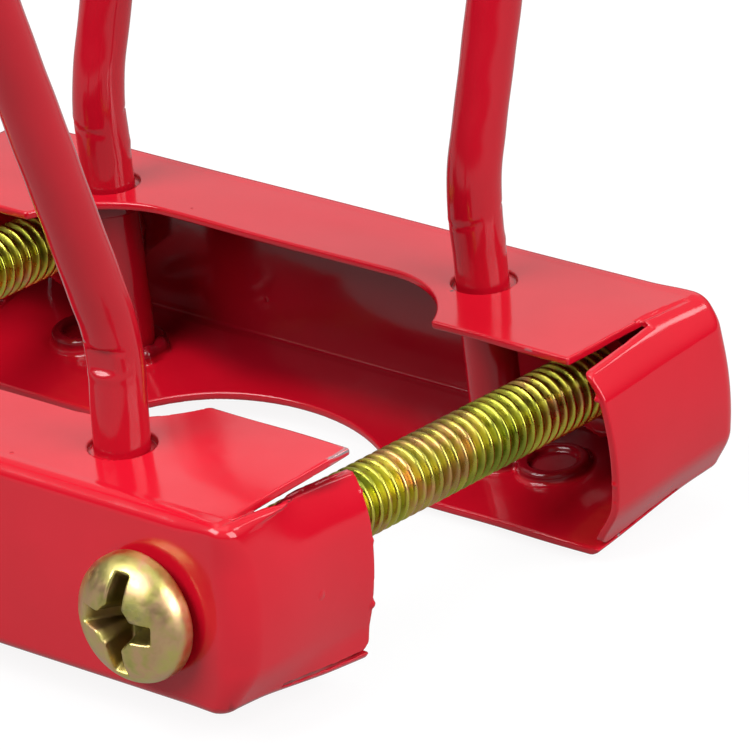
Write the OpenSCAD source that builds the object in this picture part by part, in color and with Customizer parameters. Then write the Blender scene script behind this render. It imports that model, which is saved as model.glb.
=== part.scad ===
// One-handed spring grip for lifting frames out of a beehive.
// Two folded sheet-steel jaws face each other across a gap and are tied by two
// long round-head machine screws, which turn in weld nuts inside the back jaw
// and so set the gap. A bent rod handle stands in each jaw. The front jaw rocks
// on the screws when the handles are squeezed, and a coil spring between the
// handles pushes them apart again.
// X runs along the jaws, Y runs from the front jaw to the back jaw, +Z is up.
// The origin is the middle of the gap, level with the underside of the jaws.

/* [Jaws] */
// Clear gap between the two jaws
gap = 36; // [30:0.5:40]
// Half length of the flanges at their free edge
flange_half = 49.3; // [46:0.1:52]
// How far the end flaps stand out beyond the flanges
flap_out = 1.7; // [1.2:0.1:3]
// Width of a jaw, from its outer web to the gripping edge
jaw_w = 22; // [20:0.5:26]
// Height of a jaw at its outer web
jaw_h = 21.6; // [19:0.1:24]
// Sheet thickness
sheet = 1.0; // [0.8:0.1:1.5]
// Outside bend radius between the web and the top and bottom flanges
bend_r = 2.4; // [1.6:0.1:3]
// Outside radius of the soft corner between the web and an end flap
corner_r = 5; // [3:0.5:7]
// How far an end flap bulges outward at mid height
barrel = 2.0; // [1:0.1:3]
// Rise of the top flange at its free edge
flare_top = 0.67; // [0:0.05:1.5]
// Drop of the bottom flange at its free edge
flare_bot = 1.6; // [0:0.1:2.5]
// How far the top edge of a flap slopes down towards its free edge
flap_drop = 2.5; // [1.5:0.1:4]
// Length of the V slits, from the free edge towards the web
slit_len = 17.5; // [10:0.5:18]

/* [Cut-outs] */
// Half length of the straight part of the top notch
notch_flat = 17; // [12:0.5:20]
// Corner radius of the top notch
notch_r = 14.4; // [12:0.1:16]
// Distance of the top notch's straight edge from the outer web
notch_v = 13.2; // [12:0.1:16]
// Radius of the round cut-out shared by the two bottom flanges
round_r = 28.4; // [25:0.1:29]

/* [Screws] */
// Distance of each tie screw from the middle of the jaw
screw_x = 40.2; // [38:0.1:42]
// Height of the tie screws
screw_z = 9.6; // [8:0.1:12]
// Outside diameter of the screw thread
screw_d = 7.9; // [6:0.1:8.5]
// Thread pitch
pitch = 1.411; // [1:0.001:1.75]
// Length of the screw under its head
screw_len = 85; // [82:1:100]
// Diameter of the round screw head
head_d = 14.1; // [12:0.1:15]
// Height of the round screw head
head_h = 5.4; // [4:0.1:6]
// Free play between the screw head and the front web
head_play = 0.8; // [0.8:0.05:1.5]
// Length of the weld nuts inside the back jaw
nut_t = 5.5; // [4:0.1:6.7]
// Diameter of the clearance holes in the webs
web_hole_d = 10; // [9.9:0.1:11]

/* [Handles] */
// Diameter of the handle rod
rod_d = 6; // [5:0.1:6.5]
// Distance of each handle leg from the middle of the jaw
rod_x = 28; // [26:0.5:30]
// Distance of the handle legs from the outer web
rod_v = 10.4; // [9:0.1:12]
// Height of the handle bend above the jaw's top face
bend_h = 11.7; // [8:0.1:16]
// Outward lean of the handle above the bend, in degrees
lean = 19.7; // [10:0.1:25]
// Length of the leaning part of a handle
handle_len = 74; // [60:1:90]
// Corner radius of the handle loop, on the rod's centre line
loop_r = 12; // [8:1:16]

/* [Spring] */
// Distance of the spring bar from the handle bend, along the leg
bar_s = 42; // [36:1:48]
// Outside diameter of the handle spring
spring_d = 13; // [11:0.5:16]
// Wire diameter of the handle spring
wire_d = 1.6; // [1.2:0.1:2]
// Number of turns in the handle spring
turns = 15; // [10:1:18]

/* [Rest pose] */
// Inward tilt of the front jaw at rest, in degrees
front_tilt = 0.6; // [0:0.1:2]
// Inward tilt of the back jaw at rest, in degrees
back_tilt = 4.6; // [0:0.1:5.5]
// How far the back jaw hangs down in its clearance holes
back_drop = 0.7; // [0:0.1:0.8]
// How far the back jaw is shifted along X in its clearance holes
back_shift = 0.3; // [0:0.1:0.4]

/* [Hidden] */
$fn = 64;
red = [0.80, 0.05, 0.13];
steel = [0.72, 0.72, 0.74];
brass = [0.72, 0.66, 0.30];
sides = [-1, 1];
over = 1;                         // how far a cut runs past an open edge
web_y = gap / 2 + jaw_w;          // outer face of each web
pivot_y = web_y - sheet / 2;      // rocking axis of each jaw

// ---- placing a jaw's own frame (x, v, w) in the object's frame ----
// v runs from the outer face of the web towards the gap, w runs up.
module as_front() {
    translate([0, -pivot_y, screw_z])
        rotate([-front_tilt, 0, 0])
            translate([0, -sheet / 2, -screw_z]) children();
}
module as_back() {
    translate([back_shift, pivot_y, screw_z - back_drop])
        rotate([back_tilt, 0, 0])
            mirror([0, 1, 0])
                translate([0, -sheet / 2, -screw_z]) children();
}

// ---- jaw ----
jaw_half = flange_half + flap_out; // outer face of a flap at its top and bottom edges
flap_inner = jaw_half - sheet;     // inner face of a flap there
flare_pad = 6;                     // reach of the side outline past the flared flanges
end_fill = 6;                      // depth of the end pieces, less their bulge
form_pad = 8;                      // reach of the plan outline above and below
form_half = 70;                    // half length of the extruded cross-section
clip_half = 80;                    // half length of the clip at the free edge
flange_cut = 3;                    // reach of the top cuts above and below the top face
round_cut_h = 9;
leg_hole_d = rod_d + 1.3;
v_slit_root = 0.1;                 // top slit's root, inward of the flap's inner face
v_slit_mouth = 0.02;               // top slit's outer edge at its mouth, likewise
thin_slit_v = 8;                   // start of the bottom slit
thin_slit_h = 0.3;
thin_slit_inset = 0.5;
flap_reach = 4;                    // reach of the flap cuts beyond the flap
boss_x = 35.4;
boss_v = 10.2;
boss_r = 3.8;
boss_h = 1.5;
dimple_r = 2.2;
dimple_w = 0.9;                    // floor of the boss's dimple

// Heights of the outer faces of the flanges, at distance v from the web
function top_at(v) = jaw_h + flare_top / (jaw_w - bend_r) * (v - bend_r);
function bottom_at(v) = -flare_bot / (jaw_w - bend_r) * (v - bend_r);

// The three outlines below are drawn inset by a given amount from the outer faces.
// Side outline, x across and w up, with both ends bulged as arcs.
module side_outline(inset) {
    half_h = jaw_h / 2;
    arc_r = (half_h * half_h + barrel * barrel) / (2 * barrel);
    end_x = jaw_half - inset;
    full_h = jaw_h + 2 * flare_pad;
    for (s = sides) intersection() {
        translate([s > 0 ? 0 : -end_x - barrel, -flare_pad]) square([end_x + barrel, full_h]);
        translate([s * (end_x + barrel - arc_r), half_h]) circle(r = arc_r, $fn = 180);
    }
    translate([-end_x + end_fill, -flare_pad]) square([2 * (end_x - end_fill), full_h]);
}
// Plan outline, x across and v up, with soft corners at the web.
module plan_outline(inset) {
    end_x = jaw_half + barrel - inset;
    radius = corner_r - inset;
    translate([-end_x, inset + radius]) square([2 * end_x, jaw_w + 2 * over]);
    translate([-end_x + radius, inset]) square([2 * (end_x - radius), jaw_w]);
    for (s = sides)
        translate([s * (end_x - radius), inset + radius]) circle(r = radius, $fn = 96);
}
// Cross-section, v across and w up, with flared flanges, cut off at v = depth.
module cross_section(inset, depth) {
    polygon([[inset, bend_r], [bend_r, inset],
             [depth, inset + bottom_at(depth)], [depth, top_at(depth) - inset],
             [bend_r, jaw_h - inset], [inset, jaw_h - bend_r]]);
    for (w = [bend_r, jaw_h - bend_r]) translate([bend_r, w]) circle(r = bend_r - inset);
}
// Solid block with all three outlines
module jaw_form(inset, depth) {
    intersection() {
        translate([0, depth, 0]) rotate([90, 0, 0]) linear_extrude(depth) side_outline(inset);
        translate([0, 0, -form_pad]) linear_extrude(jaw_h + 2 * form_pad)
            intersection() {
                plan_outline(inset);
                translate([-clip_half, 0]) square([2 * clip_half, depth]);
            }
        translate([-form_half, 0, 0]) rotate([90, 0, 90])
            linear_extrude(2 * form_half) cross_section(inset, depth);
    }
}
module notch_outline() {
    translate([-notch_flat, notch_v]) square([2 * notch_flat, 20]);
    for (s = sides)
        translate([s * notch_flat, notch_v + notch_r]) circle(r = notch_r, $fn = 96);
}
// Top notch and the round cut-out in the bottom flange
module flange_cutouts() {
    translate([0, 0, jaw_h - flange_cut]) linear_extrude(2 * flange_cut) notch_outline();
    translate([0, web_y, -6]) cylinder(r = round_r, h = round_cut_h, $fn = 128);
}
// Clearance holes for a tie screw and a handle leg
module clearance_holes(s) {
    translate([s * screw_x, -over, screw_z]) rotate([-90, 0, 0]) cylinder(d = web_hole_d, h = 4);
    translate([s * rod_x, rod_v, jaw_h - flange_cut]) cylinder(d = leg_hole_d, h = 2 * flange_cut);
}
// Runs a v-w outline through the flap on side s, from inset inside its inner face
module across_flap(s, inset) {
    translate([s > 0 ? flap_inner - inset : -jaw_half - flap_reach, 0, 0])
        rotate([90, 0, 90]) linear_extrude(flap_reach + sheet + inset) children();
}
// Slits that part an end flap from the flanges: a V at the top, a thin one at the bottom
module flap_slits(s) {
    root_v = jaw_w - slit_len;
    edge_v = jaw_w + over;
    thin_start = sheet + bottom_at(thin_slit_v);
    thin_end = sheet + bottom_at(edge_v);
    translate([0, 0, jaw_h - 4]) linear_extrude(9)
        polygon([[s * (flap_inner - v_slit_root), root_v], [s * flange_half, edge_v],
                 [s * (flap_inner - v_slit_mouth), edge_v]]);
    // the flap's own top edge stands clear of the flange
    across_flap(s, v_slit_root)
        polygon([[root_v, jaw_h - sheet / 2], [edge_v, jaw_h - flap_drop],
                 [edge_v, jaw_h + 5], [root_v, jaw_h + 5]]);
    across_flap(s, thin_slit_inset)
        polygon([[thin_slit_v, thin_start], [edge_v, thin_end],
                 [edge_v, thin_end + thin_slit_h], [thin_slit_v, thin_start + thin_slit_h]]);
}
// Low round boss pressed up from the bottom flange beside a leg
module boss(s) {
    translate([s * boss_x, boss_v, sheet / 2 + bottom_at(boss_v)])
        difference() {
            cylinder(r = boss_r, h = boss_h);
            translate([0, 0, dimple_w]) cylinder(r = dimple_r, h = 2);
        }
}
module jaw() {
    difference() {
        jaw_form(0, jaw_w);
        jaw_form(sheet, jaw_w + over);
        flange_cutouts();
        for (s = sides) {
            clearance_holes(s);
            flap_slits(s);
        }
    }
    for (s = sides) boss(s);
}
module front_jaw() { color(red) as_front() jaw(); }
module back_jaw() { color(red) as_back() jaw(); }

// ---- handle ----
bend_w = jaw_h + bend_h;    // height of the bend in the jaw frame
leg_gap = 0.25;             // from the bottom flange's upper face to the leg's foot
knuckle_extra = 0.06;       // how far the knuckle stands proud of the rod

module rod(length) { cylinder(d = rod_d, h = length, $fn = 48); }
// Quarter ring from the top of a leg to the crossbar
module loop_corner() {
    rotate_extrude(angle = 90, $fn = 96) translate([loop_r, 0]) circle(d = rod_d, $fn = 48);
}
// Legs from the bottom flange, a bend, and a leaning loop closed by a crossbar
module handle() {
    foot_w = sheet + bottom_at(rod_v) + leg_gap;
    corner_x = rod_x - loop_r;
    corner_z = handle_len - loop_r;
    for (s = sides) translate([s * rod_x, rod_v, foot_w]) rod(bend_w - foot_w);
    translate([0, rod_v, bend_w]) rotate([lean, 0, 0]) {
        for (s = sides) {
            translate([s * rod_x, 0, 0]) sphere(r = rod_d / 2 + knuckle_extra, $fn = 48);
            translate([s * rod_x, 0, 0]) rod(corner_z);
            translate([s * corner_x, 0, corner_z])
                rotate([90, 0, 0]) mirror([s > 0 ? 0 : 1, 0, 0]) loop_corner();
        }
        translate([-corner_x, 0, handle_len]) rotate([0, 90, 0]) rod(2 * corner_x);
    }
}
module front_handle() { color(red) as_front() handle(); }
module back_handle() { color(red) as_back() handle(); }

// ---- spring bar: a cross rod between the legs with a round seat for the spring ----
bar_w = bend_w + bar_s * cos(lean);   // height of the bar's centre in the jaw frame
bar_v = rod_v - bar_s * sin(lean);    // its distance from the outer web there
bar_half = rod_x - 1;
cope_len = 30;
cope_play = 0.02;
seat_t = 2;
seat_r = 8;
stud_r = 4;
stud_len = 6.2;                       // from the back of the seat
seat_v = bar_v + rod_d / 2 + 1.6;     // face the spring presses on

module spring_bar() {
    difference() {
        translate([-bar_half, bar_v, bar_w]) rotate([0, 90, 0]) rod(2 * bar_half);
        // coped ends that close round the legs
        for (s = sides)
            translate([s * rod_x, rod_v, bend_w]) rotate([lean, 0, 0])
                translate([0, 0, bar_s - cope_len / 2])
                    cylinder(d = rod_d + cope_play, h = cope_len, $fn = 48);
    }
    translate([0, seat_v - seat_t, bar_w]) rotate([-90, 0, 0]) {
        cylinder(r = seat_r, h = seat_t);
        cylinder(r = stud_r, h = stud_len);
    }
}
module front_spring_bar() { color(red) as_front() spring_bar(); }
module back_spring_bar() { color(red) as_back() spring_bar(); }

// ---- handle spring, a coil along Y between the two bars ----
coil_r = (spring_d - wire_d) / 2;
coil_play = 0.12;             // clearance between the coil and a seat
turn_steps = 20;              // points round one turn
wire_steps = 8;               // points round the wire
closed_turns = 1.5;           // at each end
closed_pitch = wire_d * 1.03;
closed_len = closed_turns * closed_pitch;

// Place of a tilted jaw's seat centre, inward of and above its pivot
function seat_inward(tilt) = (seat_v - sheet / 2) * cos(tilt) + (bar_w - screw_z) * sin(tilt);
function seat_above(tilt) = (bar_w - screw_z) * cos(tilt) - (seat_v - sheet / 2) * sin(tilt);
// Distance of the end of the coil's centre line from the pivot, clear of the tilted seat
function coil_end(tilt) = seat_inward(tilt) + coil_r * sin(tilt) + wire_d / 2 + coil_play;

coil_y = coil_end(front_tilt) - pivot_y;
coil_len = pivot_y - coil_end(back_tilt) - coil_y;
coil_z = screw_z + seat_above(front_tilt);
coil_rise = seat_above(back_tilt) - back_drop - seat_above(front_tilt);

// Distance along the coil after a number of turns
function advance(turn) =
    turn < closed_turns ? turn * closed_pitch
    : turn > turns - closed_turns ? coil_len - (turns - turn) * closed_pitch
    : closed_len + (turn - closed_turns) / (turns - 2 * closed_turns)
        * (coil_len - 2 * closed_len);

module handle_spring() {
    steps = turns * turn_steps;
    points = [for (i = [0:steps])
        let (turn = i / turn_steps, along = advance(turn),
             z = coil_z + coil_rise * along / coil_len)
        for (j = [0:wire_steps - 1])
            let (angle = 360 * j / wire_steps, radius = coil_r + wire_d / 2 * cos(angle))
            [radius * cos(360 * turn),
             coil_y + along + wire_d / 2 * sin(angle),
             z + radius * sin(360 * turn)]];
    faces = concat(
        [[for (j = [0:wire_steps - 1]) j]],
        [for (i = [0:steps - 1]) for (j = [0:wire_steps - 1])
            let (ring = i * wire_steps, next = ring + wire_steps, k = (j + 1) % wire_steps)
            [ring + j, next + j, next + k, ring + k]],
        [[for (j = [wire_steps - 1:-1:0]) steps * wire_steps + j]]);
    color(steel) polyhedron(points, faces, convexity = 10);
}

// ---- tie screw, drawn along +Y from the underside of its head ----
thread_r = screw_d / 2;
root_r = thread_r - 0.613 * pitch;
plain_end = 1;              // least unthreaded length at each end
thread_count = floor((screw_len - 2 * plain_end) / pitch);
tip_bevel = 0.6;
rim_h = 1.2;                // height of the head below its dome
rim_bevel = 0.3;
recess_turn = 4;            // angle of the cross recess
recess_over = 1;            // how far the recess cut starts above the head
// one thread ring: radius, distance along the ring in pitches
thread_ring = [[root_r, 0], [thread_r, 0.44], [thread_r, 0.56], [root_r, 0.97]];
// cross recess, narrowing as it deepens: length, width, depth of cut
recess_steps = [[9.2, 1.5, 2.6], [7.2, 1.4, 3.8], [4.8, 1.2, 4.8]];

// The thread is a stack of sharp rings at the pitch.
module screw_profile() {
    polygon(concat(
        [for (a = [90:-10:0]) [head_d / 2 * cos(a), -rim_h - (head_h - rim_h) * sin(a)]],
        [[head_d / 2, -rim_bevel], [head_d / 2 - rim_bevel, 0], [root_r, 0]],
        [for (i = [0:thread_count - 1]) for (p = thread_ring)
            [p[0], plain_end + (i + p[1]) * pitch]],
        [[root_r, screw_len - tip_bevel], [root_r - tip_bevel, screw_len], [0, screw_len]]));
}
module tie_screw(s) {
    translate([s * screw_x, -web_y - head_play, screw_z]) rotate([-90, 0, 0])
        difference() {
            rotate_extrude($fn = 96) screw_profile();
            for (a = [0, 90]) rotate([0, 0, a + recess_turn])
                translate([0, 0, -head_h - recess_over])
                    for (size = recess_steps)
                        translate([-size[0] / 2, -size[1] / 2, 0]) cube(size);
        }
}
module tie_screw_right() { color(brass) tie_screw(1); }
module tie_screw_left() { color(brass) tie_screw(-1); }

// ---- weld nuts, drawn along -Y from the face that is welded to the back web ----
nut_af = 12.7;                    // across flats
nut_corner_d = nut_af / cos(30);
nut_face_r = nut_af / 2 - 0.1;    // end face inside the chamfer
nut_side_r = nut_af / 2 + 1.1;
nut_chamfer = 0.7;
thread_play = 0.05;
// the weld nuts stop just short of the leaning back web
nut_y = pivot_y - sheet / 2 * cos(back_tilt)
    - (back_drop + nut_corner_d / 2) * sin(back_tilt) - 0.06;

module weld_nut(s) {
    translate([s * screw_x, nut_y, screw_z]) rotate([90, 0, 0]) difference() {
        intersection() {
            cylinder(d = nut_corner_d, h = nut_t, $fn = 6);
            // the corners are chamfered on both faces
            rotate_extrude($fn = 96)
                polygon([[0, 0], [nut_face_r, 0], [nut_side_r, nut_chamfer],
                         [nut_side_r, nut_t - nut_chamfer], [nut_face_r, nut_t], [0, nut_t]]);
        }
        translate([0, 0, -over]) cylinder(r = thread_r + thread_play, h = nut_t + 2 * over);
    }
}
module weld_nut_right() { color(red) weld_nut(1); }
module weld_nut_left() { color(red) weld_nut(-1); }

front_jaw();
back_jaw();
front_handle();
back_handle();
front_spring_bar();
back_spring_bar();
handle_spring();
tie_screw_right();
tie_screw_left();
weld_nut_right();
weld_nut_left();
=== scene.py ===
"""A two-jaw spring grip: folded red sheet jaws with bent-rod handles, tied by two long screws.

X runs along the jaws, Y from the front jaw to the back jaw with the gap centred on 0, Z up.
Sizes are in mm, and become metres when a mesh is made. Each jaw also has a frame of its own:
x along, y from its web towards the gap, z up from its bottom flange.
"""
import math
from functools import reduce
from itertools import product

import bpy
import numpy as np
from mathutils import Matrix, Vector


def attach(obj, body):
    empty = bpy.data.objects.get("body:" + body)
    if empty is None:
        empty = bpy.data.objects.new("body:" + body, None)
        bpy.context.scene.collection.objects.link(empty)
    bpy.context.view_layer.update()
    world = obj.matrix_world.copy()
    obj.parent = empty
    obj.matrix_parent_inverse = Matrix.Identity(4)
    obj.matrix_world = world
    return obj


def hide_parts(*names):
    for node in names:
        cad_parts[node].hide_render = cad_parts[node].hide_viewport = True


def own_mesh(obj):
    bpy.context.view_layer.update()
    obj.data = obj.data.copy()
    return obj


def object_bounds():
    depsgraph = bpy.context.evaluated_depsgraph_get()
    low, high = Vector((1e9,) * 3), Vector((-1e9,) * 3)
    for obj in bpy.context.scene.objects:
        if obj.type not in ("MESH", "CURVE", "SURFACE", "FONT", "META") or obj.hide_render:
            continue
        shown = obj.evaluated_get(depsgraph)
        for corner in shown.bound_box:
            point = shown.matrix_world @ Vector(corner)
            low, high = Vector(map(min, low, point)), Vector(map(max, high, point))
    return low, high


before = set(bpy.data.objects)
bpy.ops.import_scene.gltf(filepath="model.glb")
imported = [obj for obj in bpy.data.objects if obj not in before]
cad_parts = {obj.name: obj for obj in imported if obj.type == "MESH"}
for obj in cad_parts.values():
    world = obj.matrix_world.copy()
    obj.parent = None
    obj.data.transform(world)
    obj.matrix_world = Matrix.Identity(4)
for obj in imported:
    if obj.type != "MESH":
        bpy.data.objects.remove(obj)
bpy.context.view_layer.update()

MM = 0.001

# ---------------------------------------------------------------- sizes
GAP = 36.0
REACH = 22.0                    # web to gripping edge
HEIGHT = 21.6
SHEET = 1.0                     # sheet thickness
WEB_Y = GAP / 2 + REACH
PIVOT_Y = WEB_Y - SHEET / 2
FLANGE = 49.3                   # half lengths of the flanges and of the whole jaw
HALF_JAW = FLANGE + 1.7
FLAP_IN = HALF_JAW - SHEET      # inner face of the end flaps
BEND = 2.4                      # where the flanges leave the folds
BARREL = 2.0                    # bulge of the end flaps
TOP_SLOPE = 0.67 / (REACH - BEND)
BOTTOM_SLOPE = 1.6 / (REACH - BEND)
TOP_DIP = 0.45                  # the top flange starts this much low
TOP_EDGE = HEIGHT - TOP_DIP
TOP_GRADE = TOP_SLOPE + TOP_DIP / (REACH - BEND)

ROD_X, ROD_Y, ROD_R = 28.0, 10.4, 3.0
BEND_Z = HEIGHT + 11.7          # handle bend
LEAN = math.radians(19.7)
ARM = 74.0                      # bend to crossbar
ELBOW = 12.0                    # bend radius at the crossbar's ends
BAR_UP_ARM = 42.0               # bend to spring bar

SCREW_X, SCREW_Z = 40.2, 9.6
SCREW_D, SCREW_LEN, PITCH = 7.9, 85.0, 1.411
HEAD_PLAY = 0.8
HEAD_R, HEAD_H, RIM = 7.05, 5.15, 1.1
DOME = HEAD_H - RIM

FRONT_TILT, BACK_TILT = math.radians(0.6), math.radians(4.6)
BACK_DROP, BACK_SHIFT = 0.7, 0.3
NUT_T, NUT_AF = 5.5, 12.7
NUT_CORNER = NUT_AF / 2 / math.cos(math.radians(30))
NUT_Y = (PIVOT_Y - SHEET / 2 * math.cos(BACK_TILT)
         - (BACK_DROP + NUT_CORNER) * math.sin(BACK_TILT) - 0.06)


# ---------------------------------------------------------------- jaw frames
def turn_x(angle):
    c, s = math.cos(angle), math.sin(angle)
    return np.array([[1, 0, 0], [0, c, -s], [0, s, c]])


PIVOT = np.array([0, SHEET / 2, SCREW_Z])
# for each side: its tilt, the place of its pivot, and its mirroring
PLACES = {
    "front": (turn_x(-FRONT_TILT), [0, -PIVOT_Y, SCREW_Z], [1, 1, 1]),
    "back": (turn_x(BACK_TILT), [BACK_SHIFT, PIVOT_Y, SCREW_Z - BACK_DROP], [1, -1, 1]),
}


def placed(side, points):
    """From a jaw's frame to the object's."""
    turn, origin, mirror = PLACES[side]
    return (np.asarray(points, float) - PIVOT) * mirror @ turn.T + origin


def unplaced(side, points):
    """From the object's frame to a jaw's."""
    turn, origin, mirror = PLACES[side]
    return (points - origin) @ turn * mirror + PIVOT


# ---------------------------------------------------------------- distance fields
# A field is negative inside its solid.
def meet(a, b, radius):
    """What lies in both a and b, with the edge between them rounded."""
    return (np.minimum(np.maximum(a, b), -radius)
            + np.hypot(np.maximum(a + radius, 0), np.maximum(b + radius, 0)))


def join(a, b, radius):
    """Both solids as one, with a fillet between them."""
    return -meet(-a, -b, radius)


def cut(solid, hole, radius):
    return meet(solid, -hole, radius)


def overlap(*solids):
    """What lies in all the solids, with sharp edges."""
    return reduce(np.maximum, solids)


def ease(t):
    """0 to 1, with a smooth start and stop."""
    t = np.clip(t, 0, 1)
    return t * t * (3 - 2 * t)


def gradient(field, points):
    """Unit normals of the field."""
    reach = 0.03
    slope = np.empty_like(points)
    for i in range(3):
        ahead, behind = points.copy(), points.copy()
        ahead[:, i] += reach
        behind[:, i] -= reach
        slope[:, i] = field(*ahead.T) - field(*behind.T)
    return slope / np.maximum(np.linalg.norm(slope, axis=1), 1e-9)[:, None]


def settle(field, points, spacing, times):
    """Pulls the points onto the surface."""
    for _ in range(times):
        distance = field(*points.T)
        normals = gradient(field, points)
        move = np.clip(distance, -0.5 * spacing, 0.5 * spacing)
        points = points - normals * move[:, None] * 0.9
    return points


def surface_nets(field, low, high, spacing):
    """Points, quads and normals of the field's surface: a point per mixed cell, a quad per edge."""
    low, high = np.array(low, float), np.array(high, float)
    size = np.ceil((high - low) / spacing).astype(int) + 1
    axes = [low[i] + spacing * np.arange(size[i]) for i in range(3)]
    values = np.empty(tuple(size), np.float32)
    block = max(1, int(1.2e6 / (size[1] * size[2])))    # limits the memory in use
    for i in range(0, size[0], block):
        grid = np.meshgrid(axes[0][i:i + block], axes[1], axes[2], indexing="ij")
        values[i:i + block] = field(*grid)
    solid = values < 0

    corners = list(product((0, 1), repeat=3))
    filled = np.zeros(tuple(size - 1), np.int8)
    for i, j, k in corners:
        filled += solid[i:size[0] - 1 + i, j:size[1] - 1 + j, k:size[2] - 1 + k]
    cells = np.stack(np.nonzero((filled > 0) & (filled < 8)), 1)
    index = np.full(filled.shape, -1, np.int64)
    index[tuple(cells.T)] = np.arange(len(cells))

    # each point starts at the mean of its cell's edge crossings
    total, count = np.zeros((len(cells), 3)), np.zeros(len(cells))
    for corner in corners:
        for axis in range(3):
            if corner[axis]:
                continue
            other = list(corner)
            other[axis] = 1
            here = values[tuple((cells + corner).T)].astype(float)
            there = values[tuple((cells + other).T)].astype(float)
            crossed = (here < 0) != (there < 0)
            place = np.tile(np.array(corner, float), (crossed.sum(), 1))
            place[:, axis] = here[crossed] / (here[crossed] - there[crossed])
            total[crossed] += place
            count[crossed] += 1
    points = low + spacing * (cells + total / count[:, None])

    faces = []
    for axis in range(3):
        axis1, axis2 = (axis + 1) % 3, (axis + 2) % 3
        near = [slice(1, n - 1) for n in size]
        far = list(near)
        near[axis], far[axis] = slice(0, size[axis] - 1), slice(1, size[axis])
        starts, ends = solid[tuple(near)], solid[tuple(far)]
        for leaving in (True, False):
            edges = np.stack(np.nonzero((starts != ends) & (starts == leaving)), 1)
            edges[:, axis1] += 1
            edges[:, axis2] += 1
            quads = []
            for step1, step2 in ((-1, -1), (0, -1), (0, 0), (-1, 0)):
                cell = edges.copy()
                cell[:, axis1] += step1
                cell[:, axis2] += step2
                quads.append(index[tuple(cell.T)])
            quads = np.stack(quads, 1)
            faces.append(quads if leaving else quads[:, ::-1])
    points = settle(field, points, spacing, 3)
    return points, np.concatenate(faces), gradient(field, points)


# ---------------------------------------------------------------- meshes
def mesh_object(name, points, faces, normals=None, side=None):
    """A smooth mesh object from mm points, which are in a jaw's frame if side is given."""
    if side:
        local = points
        points = placed(side, local)
        if normals is not None:
            normals = placed(side, local + normals) - points
        if side == "back":
            faces = faces[:, ::-1]      # the back jaw is mirrored
    mesh = bpy.data.meshes.new(name)
    mesh.vertices.add(len(points))
    mesh.vertices.foreach_set("co", (points * MM).astype(np.float32).ravel())
    corners = faces.shape[1]
    mesh.loops.add(faces.size)
    mesh.loops.foreach_set("vertex_index", faces.astype(np.int32).ravel())
    mesh.polygons.add(len(faces))
    mesh.polygons.foreach_set("loop_start", (np.arange(len(faces)) * corners).astype(np.int32))
    mesh.polygons.foreach_set("loop_total", np.full(len(faces), corners, np.int32))
    mesh.update(calc_edges=True)
    mesh.validate()
    mesh.polygons.foreach_set("use_smooth", np.ones(len(mesh.polygons), bool))
    piece = bpy.data.objects.new(name, mesh)
    bpy.context.scene.collection.objects.link(piece)
    if normals is not None:
        mesh.normals_split_custom_set_from_vertices([tuple(n) for n in normals])
    return piece


def mesh_points(mesh):
    """The mesh's vertices in mm."""
    flat = np.empty(len(mesh.vertices) * 3, np.float32)
    mesh.vertices.foreach_get("co", flat)
    return flat.reshape(-1, 3).astype(float) / MM


def add_attribute(piece, name, values):
    attribute = piece.data.attributes.new(name, "FLOAT", "POINT")
    attribute.data.foreach_set("value", np.asarray(values, np.float32))


def biggest_island(points, faces, normals):
    """Keeps only the largest connected part of a mesh."""
    label = np.arange(len(points))
    while True:
        lowest = label[faces].min(1)
        new = label.copy()
        for k in range(faces.shape[1]):
            np.minimum.at(new, faces[:, k], lowest)
        new = new[new]
        if np.array_equal(new, label):
            break
        label = new
    labels, count = np.unique(label, return_counts=True)
    keep = label == labels[count.argmax()]
    index = np.cumsum(keep) - 1
    return points[keep], index[faces[keep[faces[:, 0]]]], normals[keep]


def thinned(name, points, faces, ratio):
    """The mesh decimated, as points and triangles."""
    rough = mesh_object(name + "_tmp", points, faces)
    rough.modifiers.new("thin", "DECIMATE").ratio = ratio
    graph = bpy.context.evaluated_depsgraph_get()
    mesh = bpy.data.meshes.new_from_object(rough.evaluated_get(graph))
    mesh.calc_loop_triangles()
    triangles = np.empty(len(mesh.loop_triangles) * 3, np.int32)
    mesh.loop_triangles.foreach_get("vertices", triangles)
    bpy.data.objects.remove(rough)
    return mesh_points(mesh), triangles.reshape(-1, 3)


def field_object(name, field, low, high, spacing, side, ratio):
    """A mesh of the field. After thinning, its points go back on the surface with true normals."""
    points, faces, normals = biggest_island(*surface_nets(field, low, high, spacing))
    points, faces = thinned(name, points, faces, ratio)
    points = settle(field, points, spacing, 2)
    normals = gradient(field, points)
    return mesh_object(name, points, faces, normals, side)


def capped_tube(points, sides, centres, right_handed):
    """Joins rings of points into a tube. Each end gets a half-size ring and a fan of quads."""
    rings = len(points) // sides
    i, j = np.meshgrid(np.arange(rings - 1), np.arange(sides), indexing="ij")
    here, beside = i * sides + j, i * sides + (j + 1) % sides
    quad = [here, here + sides, beside + sides, beside]
    if right_handed:
        quad = [here, beside, beside + sides, here + sides]
    caps = []
    order = -1 if right_handed else 1
    ends = ((0, centres[0], 1), (len(points) - sides, centres[1], -1))
    for base, centre, facing in ends:
        inner = len(points)
        rim = points[base:base + sides]
        points = np.concatenate([points, centre + (rim - centre) * 0.5, [centre]])
        for k in range(sides):
            a, b = (k, (k + 1) % sides)[::order]
            caps.append([base + a, base + b, inner + b, inner + a][::facing])
        for k in range(0, sides, 2):
            a, b = (k, (k + 2) % sides)[::order]
            caps.append([inner + a, inner + k + 1, inner + b, inner + sides][::facing])
    return points, np.concatenate([np.stack(quad, -1).reshape(-1, 4), np.array(caps)])


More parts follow.
